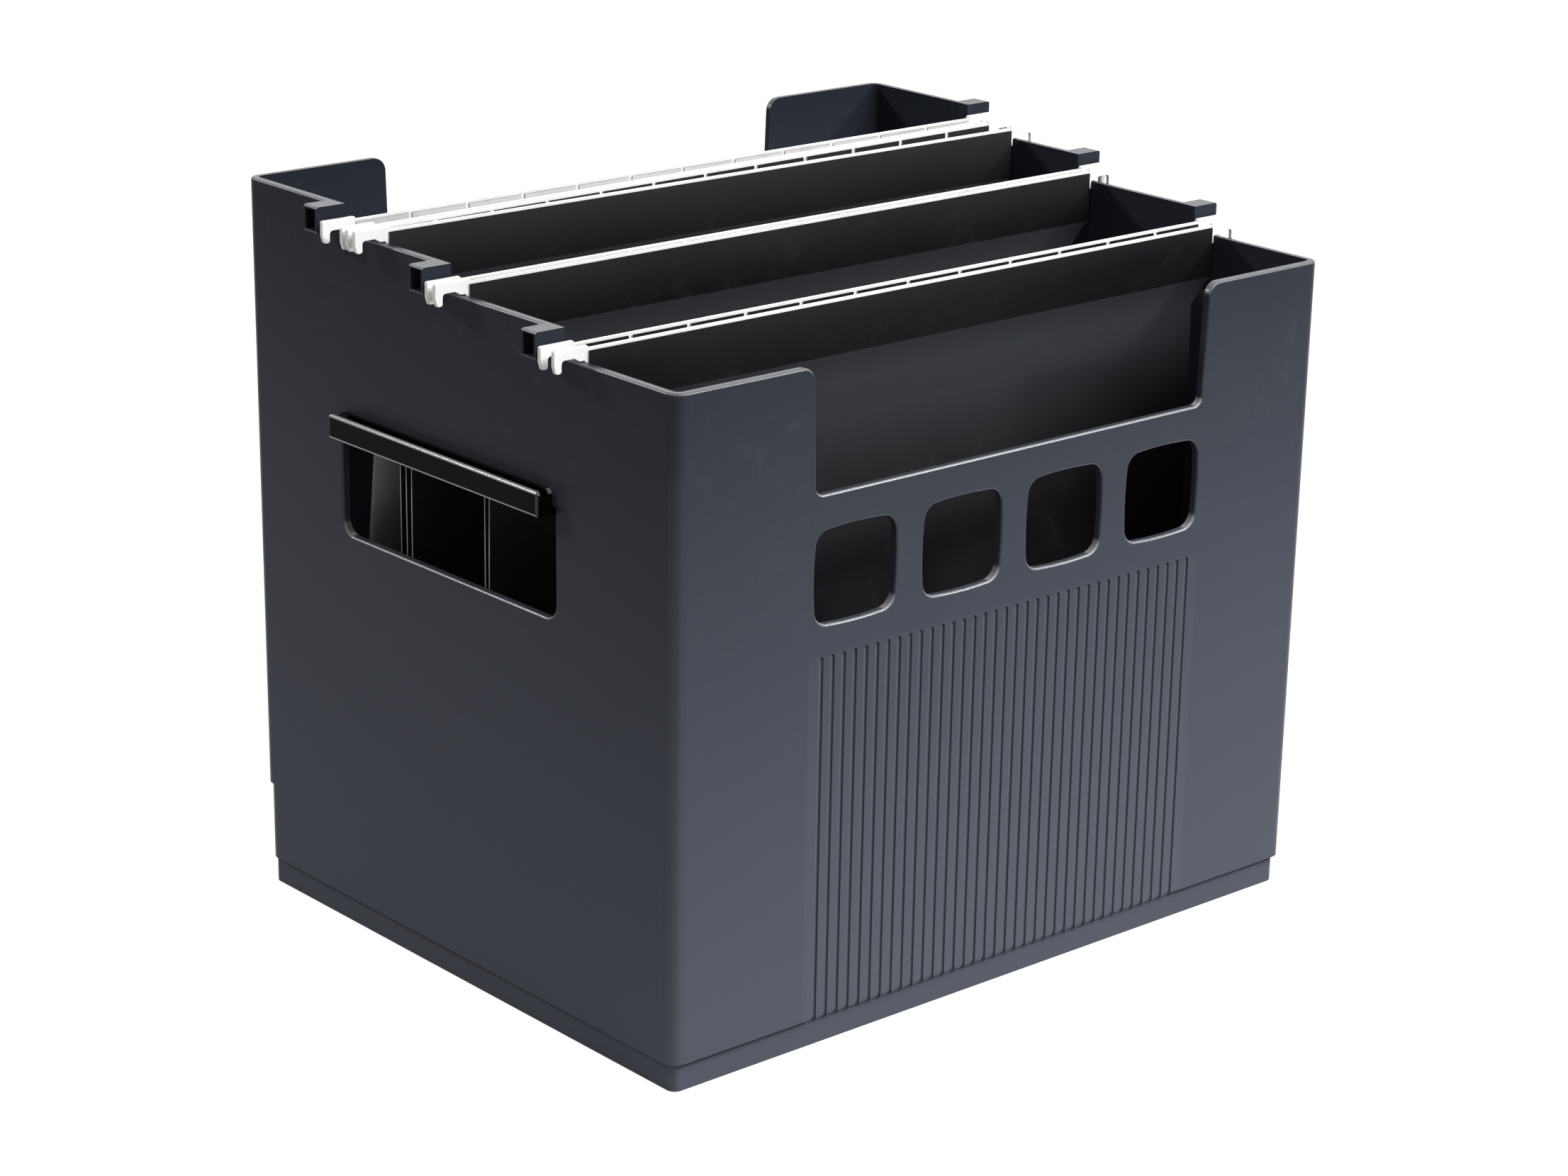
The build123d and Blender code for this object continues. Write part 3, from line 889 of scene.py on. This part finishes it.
@dataclass
class CardHalf:
    """One half of a hanging folder: sheet, hem and tab slots, as one piece.

    It is made round its own rail, with x along the rail, y = 0 in the middle
    of the rail and z = 0 at the rim, and then hung where its CAD node is.  The
    back half holds the bottom fold, which reaches over to the front half.
    """

    LAYERS = (FinishName.CARD, FinishName.CARD_EDGE, FinishName.HEM, FinishName.LINING)
    SQUARE_ON = 0.7  # least part of a normal along the axis that its face looks along
    THIN = 1.3  # most that a cut edge's faces measure, in card thicknesses

    folder: str
    side: Side
    bow: float
    belly: float = 0.0
    fold_reach: float = 0.0
    painted_inner_light: bool = False
    card: float = 0.0005
    hem_layer: float = 0.0005
    glue: float = 0.00003  # gap between the rail and a layer of the hem
    hem_height: float = 0.020
    rail_thickness: float = 0.0013
    rail_rise: float = 0.0045  # of the rail's top above the rim
    hem_drop: float = 0.0009  # of the hem's top below the rail's
    sheet_step: tuple[float, float] = (0.0012, 0.0006)  # below and above the hem's foot
    flap_step: tuple[float, float] = (0.0004, 0.0008)
    hem_round: float = 0.0004
    fold_bend: float = 0.0015
    fold_cut: float = 0.3  # corner of the fold, as a share of its bend
    fold_gap: float = 0.0001  # between the fold and the front half's foot
    shoulder: float = 0.0093
    slots: int = 11
    slot_pitch: float = 0.026
    slot_width: float = 0.0018
    slot_depth: float = 0.007
    columns: int = 26
    rows: int = 16
    belly_lowness: float = 1.8
    ripple: float = 0.0012
    ripple_length: float = 0.09
    calm_below_hem: float = 0.06
    calm_above_fold: float = 0.03
    piece: Workpiece = field(init=False)

    @property
    def node(self) -> str:
        """Name of the CAD node that the piece stands for."""
        return f"{self.folder}_{self.side.name.lower()}_sheet"

    @property
    def body(self) -> str:
        """Name of the body that the half's rail belongs to."""
        return f"{self.folder}_{self.side.name.lower()}"

    def __post_init__(self) -> None:
        """Take the half's place and lengths from the frame."""
        low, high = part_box(self.node)
        hooks = [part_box(f"{self.body}_{hand}_hook") for hand in ("left", "right")]
        left, right = ((a + b) / 2 for a, b in hooks)
        _, rail_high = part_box(f"{self.body}_rail")
        self.rim = rail_high.z - self.rail_rise
        self.half_width = (high.x - low.x) / 2
        self.body_half = self.half_width - self.shoulder
        self.turn = math.atan2(right.y - left.y, right.x - left.x)
        self.middle = (left + right) / 2
        self.crease = low.z - self.rim
        self.hem_top = self.rail_rise - self.hem_drop
        self.hem_floor = self.hem_top - self.hem_height
        self.layer_y = self.rail_thickness / 2 + self.hem_layer / 2 + self.glue
        self.shoulder_z = self.hem_floor - self.shoulder

    def sag(self, z: float) -> float:
        """How far the hanging card has moved away from plumb.

        Args:
            z: a height on the card.

        Returns:
            The way along y.
        """
        share = clamped((self.hem_floor - z) / (self.hem_floor - self.crease))
        plain = self.bow * math.sin(math.pi * share)
        low = share * math.sin(math.pi * share ** self.belly_lowness)
        return plain + self.belly * low

    def hanging_path(self) -> list[Point]:
        """The sheet's path from the bottom fold up to the hem's top.

        Returns:
            Points (y, z).
        """
        outer = -self.side.value * self.layer_y
        start = self.crease + self.card / 2
        path: list[Point] = []
        if self.side is Side.BACK:
            for reach in (self.fold_reach, self.fold_reach / 2, self.fold_bend):
                path.append((-reach, start))
            cut = self.fold_bend * self.fold_cut
            path.append((-cut, start + cut))
            start += self.fold_bend
        else:
            start += self.card + self.fold_gap
        step = (self.shoulder_z - start) / self.rows
        for row in range(self.rows + 1):
            z = start + step * row
            path.append((self.sag(z), z))
        below, above = self.sheet_step
        path.append((self.sag(self.hem_floor), self.hem_floor - below))
        path.append((outer, self.hem_floor + above))
        path.append((outer, self.hem_top - self.hem_round))
        path.append((outer, self.hem_top))
        return path

    def width_at(self, z: float) -> float:
        """Half of the sheet's width at height z; it grows at the shoulders."""
        share = clamped((z - self.shoulder_z) / self.shoulder)
        return self.body_half + share * (self.half_width - self.body_half)

    def strip(
        self, name: str, path: Sequence[Point], edges: Sequence[float]
    ) -> Workpiece:
        """Extrude a strip of card upwards along a path.

        Args:
            name: the strip's name.
            path: points (y, z), from the strip's lower edge.
            edges: where the columns lie, as shares of the half width.

        Returns:
            The strip, still without thickness.
        """
        Workpiece.clear_selection()
        (y, z), upper = path[0], path[1:]
        cells = len(edges) - 1
        size = 2.0  # of the grid, from -1 to 1
        bpy.ops.mesh.primitive_grid_add(
            x_subdivisions=cells, y_subdivisions=1, size=size
        )
        work = Workpiece(name)
        work.edit()
        work.pick(lambda co: co.y > TINY)
        bpy.ops.mesh.delete(type="VERT")
        for i, edge in enumerate(edges):
            even = size * i / cells - 1
            work.pick(lambda co, x=even: abs(co.x - x) < TINY and abs(co.z) < TINY)
            work.shift(x=edge - even, z=1.0)
        width = self.width_at(z)
        bpy.ops.mesh.select_all(action="SELECT")
        bpy.ops.transform.resize(value=(width, 1, 1), center_override=ORIGIN)
        work.shift(y=y + 1.0, z=z - 1.0)
        for next_y, next_z in upper:
            bpy.ops.mesh.extrude_region_move(
                MESH_OT_extrude_region={},
                TRANSFORM_OT_translate={"value": (0, next_y - y, next_z - z)},
            )
            next_width = self.width_at(next_z)
            if abs(next_width - width) > TINY:
                wider = (next_width / width, 1, 1)
                bpy.ops.transform.resize(value=wider, center_override=ORIGIN)
            y, z, width = next_y, next_z, next_width
        return work

    def make_sheet(self) -> Workpiece:
        """The hanging sheet with the outer layer of its hem."""
        even = [2 * i / self.columns - 1 for i in range(self.columns + 1)]
        return self.strip(f"{self.body}_card", self.hanging_path(), even)

    def make_flap(self) -> Workpiece:
        """The inner layer of the hem, with the tab slots cut out.

        Returns:
            The flap, still without thickness.
        """
        inner = self.side.value * self.layer_y
        glued = self.side.value * self.card
        below, above = self.flap_step
        slot_foot = self.hem_top - self.slot_depth
        path = [
            (glued, self.hem_floor - below),
            (inner, self.hem_floor + above),
            (inner, slot_foot),
            (inner, self.hem_top),
        ]
        half = self.slot_width / 2
        edges = [-1.0]
        for i in range(self.slots):
            middle = self.slot_pitch * (i - (self.slots - 1) / 2)
            edges += [(middle + side) / self.half_width for side in (-half, half)]
        edges.append(1.0)
        flap = self.strip(f"{self.body}_flap", path, edges)

        def in_slot(face: bmesh.types.BMFace) -> bool:
            """Whether a face lies in a tab slot.

            Args:
                face: a face of the flap.

            Returns:
                True if the face is to be cut out.
            """
            x, _, z = face.calc_center_median()
            from_slot = abs(x - round(x / self.slot_pitch) * self.slot_pitch)
            in_row = abs(x) < self.slot_pitch * self.slots / 2
            return in_row and from_slot < half and z > slot_foot

        flap.pick_faces(in_slot)
        bpy.ops.mesh.delete(type="FACE")
        return flap

    def ripple_sheet(self, sheet: Workpiece) -> None:
        """Let the card below the hem ripple a little, as handled card does.

        Args:
            sheet: the sheet, still without thickness.
        """
        Workpiece.clear_selection()
        group = sheet.object.vertex_groups.new(name="free_card")
        for vertex in sheet.object.data.vertices:
            z = vertex.co.z
            free = clamped((self.hem_floor - z) / self.calm_below_hem)
            clear = clamped((z - self.crease) / self.calm_above_fold)
            group.add([vertex.index], free * clear, "REPLACE")
        clouds = bpy.data.textures.new(f"{self.body}_ripple", "CLOUDS")
        clouds.noise_scale = self.ripple_length
        sheet.finish(
            "DISPLACE",
            texture=clouds,
            texture_coords="LOCAL",
            direction="Y",
            strength=self.ripple,
            mid_level=0.5,
            vertex_group=group.name,
        )

    def hang(self, work: Workpiece) -> None:
        """Turn the piece by its rail's skew and move it to its place on the rims.

        Args:
            work: the finished piece, round its own rail.
        """
        work.edit()
        bpy.ops.mesh.select_all(action="SELECT")
        # With no window, this operator turns the other way.
        bpy.ops.transform.rotate(
            value=-self.turn, orient_axis="Z", center_override=ORIGIN
        )
        work.shift(self.middle.x, self.middle.y, self.rim)
        bpy.ops.object.mode_set(mode="OBJECT")

    def build(self, palette: Palette) -> None:
        """Model the half, dress it and join it to the frame.

        Args:
            palette: the finishes.
        """
        sheet = self.make_sheet()
        self.ripple_sheet(sheet)
        flap = self.make_flap()
        for work, hem_from in ((sheet, self.hem_floor), (flap, self.crease)):
            self.thicken(work, hem_from, palette)
        Workpiece.clear_selection()
        flap.object.select_set(True)
        sheet.object.select_set(True)
        bpy.context.view_layer.objects.active = sheet.object
        bpy.ops.object.join()
        self.hang(sheet)
        sheet.settle()
        self.piece = sheet
        self.attach()
        log.info("%s: %d faces", sheet.object.name, len(sheet.object.data.polygons))

    def thicken(self, work: Workpiece, hem_from: float, palette: Palette) -> None:
        """Give a strip its card thickness, its finishes and its paler cut edges.

        Args:
            work: the strip.
            hem_from: height above which the strip is hem.
            palette: the finishes.
        """
        work.activate()
        for name in self.LAYERS:
            work.object.data.materials.append(palette[name])
        work.edit()
        work.pick_faces(lambda face: face.calc_center_median().z > hem_from)
        work.paint(self.LAYERS.index(FinishName.HEM))
        bpy.ops.object.mode_set(mode="OBJECT")
        work.finish("SOLIDIFY", thickness=self.card, offset=0.0, use_even_offset=True)
        work.edit()
        bpy.ops.mesh.select_all(action="SELECT")
        bpy.ops.mesh.normals_make_consistent(inside=False)
        work.pick_faces(self.is_cut_edge)
        work.paint(self.LAYERS.index(FinishName.CARD_EDGE))
        # painted light on the faces that point into the folder
        if self.painted_inner_light:
            work.pick_faces(self.is_inner)
            work.paint(self.LAYERS.index(FinishName.LINING))
        bpy.ops.object.mode_set(mode="OBJECT")

    def is_cut_edge(self, face: bmesh.types.BMFace) -> bool:
        """Whether a face is on the card's cut edge at either side."""
        thin = min(edge.calc_length() for edge in face.edges) < self.card * self.THIN
        return thin and abs(face.normal.x) > self.SQUARE_ON

    def is_inner(self, face: bmesh.types.BMFace) -> bool:
        """Whether a face points into the folder."""
        return face.normal.y * self.side.value > self.SQUARE_ON

    def attach(self) -> None:
        """Hang the piece on its body, or, for the front half, leave it on no body with
        its place baked in.
        """
        card = self.piece.object
        if self.side is Side.BACK:
            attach(card, self.body)
        else:
            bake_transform(card)
        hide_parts(self.node)


@dataclass
class HangingFolder:
    """One folder: two card halves, two rails and four hooks."""

    name: str
    back_bow: float
    front_bow: float
    back_belly: float = 0.0
    painted_inner_light: bool = False

    def build(self, palette: Palette) -> None:
        """Make the card and dress the rails and hooks.

        Args:
            palette: the finishes.
        """
        back_y, front_y = (self.rail_y(half) for half in ("back", "front"))
        reach = back_y - front_y
        back = CardHalf(
            self.name, Side.BACK, self.back_bow, self.back_belly, reach, self.painted_inner_light
        )
        front = CardHalf(self.name, Side.FRONT, self.front_bow)
        for half in (back, front):
            half.build(palette)
            palette.dress(f"{half.body}_rail", FinishName.RAIL)
            for hand in ("left", "right"):
                palette.dress(f"{half.body}_{hand}_hook", FinishName.HOOK)

    def rail_y(self, half: str) -> float:
        """Where the middle of a half's rail lies."""
        low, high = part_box(f"{self.name}_{half}_rail")
        return (low.y + high.y) / 2


@dataclass
class Tub:
    """The moulded tub with its two clipped-on grips."""

    shell: str = "tub"
    grips: tuple[str, str] = ("left_grip", "right_grip")

    def build(self, palette: Palette) -> None:
        """Dress the shell and the grips.

        Args:
            palette: the finishes.
        """
        palette.dress(self.shell, FinishName.TUB)
        for grip in self.grips:
            palette.dress(grip, FinishName.GRIP)


# ---- studio
def way_out(azimuth: float, elevation: float) -> Vector:
    """The way from the box to a lamp or the camera, from angles in degrees."""
    a, e = math.radians(azimuth), math.radians(elevation)
    return Vector((math.sin(a) * math.cos(e), -math.cos(a) * math.cos(e), math.sin(e)))


@dataclass
class Softbox:
    """A rectangular studio light that points at the box."""

    name: str
    azimuth: float
    elevation: float
    distance: float
    width: float
    height: float
    watts: float
    aim: tuple[float, float, float] = (0.0, 0.0, 0.13)

    def build(self) -> None:
        """Add the light."""
        Workpiece.clear_selection()
        towards = way_out(self.azimuth, self.elevation)
        place = Vector(self.aim) + towards * self.distance
        bpy.ops.object.light_add(type="AREA", location=place)
        lamp = bpy.context.active_object
        lamp.name = self.name
        lamp.rotation_euler = towards.to_track_quat("Z", "Y").to_euler()
        lamp.data.shape = "RECTANGLE"
        lamp.data.size = self.width
        lamp.data.size_y = self.height
        lamp.data.energy = self.watts


@dataclass
class Studio:
    """Floor, surroundings, lights and camera."""

    floor_size: float = 2.8
    floor_drop: float = 0.0002
    floor_shade: float = 0.36
    floor_lift: float = 0.88
    ambient: float = 0.16
    lights: tuple[Softbox, ...] = (
        Softbox(
            "front_softbox",
            azimuth=14.0, elevation=46.0, distance=1.6,
            width=1.2, height=0.7, watts=23.5,
        ),
        Softbox(
            "top_softbox",
            azimuth=0.0, elevation=78.0, distance=1.5,
            width=0.9, height=0.7, watts=3.5,
            aim=(0.0, 0.0, 0.27),
        ),
        Softbox(
            "back_softbox",
            azimuth=138.0, elevation=24.0, distance=1.7,
            width=1.3, height=0.5, watts=5.0,
            aim=(0.0, 0.0, 0.2),
        ),
        Softbox(
            "left_edge_light",
            azimuth=-145.0, elevation=30.0, distance=1.6,
            width=0.34, height=0.14, watts=8.5,
            aim=(-0.1, 0.0, 0.2),
        ),
        Softbox(
            "right_edge_light",
            azimuth=46.0, elevation=30.0, distance=1.6,
            width=0.3, height=0.14, watts=11.0,
            aim=(0.0, -0.1, 0.2),
        ),
    )
    azimuth: float = -41.248
    elevation: float = 18.365
    roll: float = 1.02
    distance: float = 1.48067
    target: tuple[float, float, float] = (0.001095, 0.0, 0.122045)
    lens: float = 87.24
    sensor: float = 36.0

    def build(self) -> None:
        """Set up everything that isn't part of the box."""
        self.add_floor()
        self.add_surroundings()
        for light in self.lights:
            light.build()
        self.add_camera()
        bpy.context.scene.view_settings.view_transform = "Standard"

    @staticmethod
    def seen_directly(graph: Graph) -> Socket:
        """1 for rays from the camera, and for those that metal or glass passes on.

        Args:
            graph: the graph of the floor or of the room.

        Returns:
            The mask's socket.
        """
        rays = graph.add("LightPath").outputs
        total = graph.maths("ADD", rays["Is Camera Ray"], rays["Is Glossy Ray"])
        return graph.maths("ADD", total, rays["Is Transmission Ray"], clamp=True)

    def add_floor(self) -> None:
        """A pale floor that keeps the box's shadow."""
        Workpiece.clear_selection()
        place = (0, 0, -self.floor_drop)
        bpy.ops.mesh.primitive_plane_add(size=self.floor_size, location=place)
        floor = Workpiece("studio_floor")
        floor.activate()
        bpy.ops.object.transform_apply(location=True)
        material = bpy.data.materials.new("studio_paper")
        material.use_nodes = True
        graph = Graph(material.node_tree)
        paper = graph.add("BsdfDiffuse", Color=grey(self.floor_shade))
        lift = graph.maths("MULTIPLY", self.seen_directly(graph), self.floor_lift)
        glow = graph.add("Emission", Color=grey(1.0), Strength=lift)
        both = graph.add("AddShader")
        graph.put(both, 0, paper.outputs[0])
        graph.put(both, 1, glow.outputs[0])
        graph.add("OutputMaterial", Surface=both.outputs[0])
        floor.object.data.materials.append(material)

    def add_surroundings(self) -> None:
        """A white room, plainly lit."""
        world = bpy.data.worlds.new("studio_room")
        bpy.context.scene.world = world
        world.use_nodes = True
        graph = Graph(world.node_tree)
        shown = graph.maths("MULTIPLY", self.seen_directly(graph), 1.0 - self.ambient)
        level = graph.maths("ADD", shown, self.ambient)
        room = graph.add("Background", Color=grey(1.0), Strength=level)
        graph.add("OutputWorld", Surface=room.outputs[0])

    def add_camera(self) -> None:
        """The camera, looking at the box from its front left."""
        Workpiece.clear_selection()
        back = way_out(self.azimuth, self.elevation)
        level = (-back).cross(Vector((0, 0, 1))).normalized()
        upright = level.cross(-back)
        roll = math.radians(self.roll)
        right = math.cos(roll) * level + math.sin(roll) * upright
        up = -math.sin(roll) * level + math.cos(roll) * upright
        bpy.ops.object.camera_add()
        camera = bpy.context.active_object
        camera.name = "camera"
        place = Vector(self.target) + back * self.distance
        columns = Matrix((right, up, back)).transposed().to_4x4()
        camera.matrix_world = Matrix.Translation(place) @ columns
        camera.data.sensor_width = self.sensor
        camera.data.lens = self.lens
        bpy.context.scene.camera = camera


def main() -> None:
    """Build the looks of the file box, sub-assembly by sub-assembly."""
    logging.basicConfig(level=logging.INFO, format="%(name)s: %(message)s")
    Studio().build()
    palette = Palette()
    Tub().build(palette)
    folders = (
        HangingFolder("front_folder", back_bow=0.0006, front_bow=-0.0008),
        HangingFolder("second_folder", back_bow=-0.0012, front_bow=0.0012),
        HangingFolder("third_folder", back_bow=-0.0012, front_bow=0.0006),
        HangingFolder(
            "rear_folder",
            back_bow=0.0015,
            front_bow=-0.0012,
            back_belly=0.016,
            painted_inner_light=True,
        ),
    )
    for folder in folders:
        folder.build(palette)


if __name__ == "__main__":
    main()
